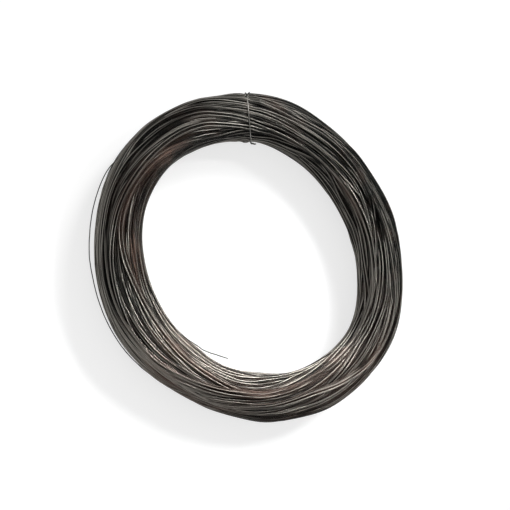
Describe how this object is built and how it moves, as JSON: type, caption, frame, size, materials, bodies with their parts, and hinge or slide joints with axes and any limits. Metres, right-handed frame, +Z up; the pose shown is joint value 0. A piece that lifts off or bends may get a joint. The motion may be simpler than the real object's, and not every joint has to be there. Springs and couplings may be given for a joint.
{
  "type": "coil of drawn steel wire",
  "caption": "Flat-lying ring-shaped coil of thin dark steel wire with an open eye, one loose outer turn, a free end and a single twisted tie.",
  "frame": {"origin": "on the coil's axis, at the level the coil rests on", "axes": "+Z up along the coil's axis; +X and +Y level, with the tie 154 degrees from +X towards +Y"},
  "size_m": [0.5369, 0.5369, 0.083],
  "materials": {
    "coil_steel": "dark drawn steel with thin drawing scale, greenish grey with brown patches, satin",
    "tie_steel": "lighter grey drawn steel, satin"
  },
  "bodies": {
    "root": {"wire_coil": "coil_steel", "tie_wire_upper": "tie_steel", "tie_wire_lower": "tie_steel"}
  },
  "joints": []
}
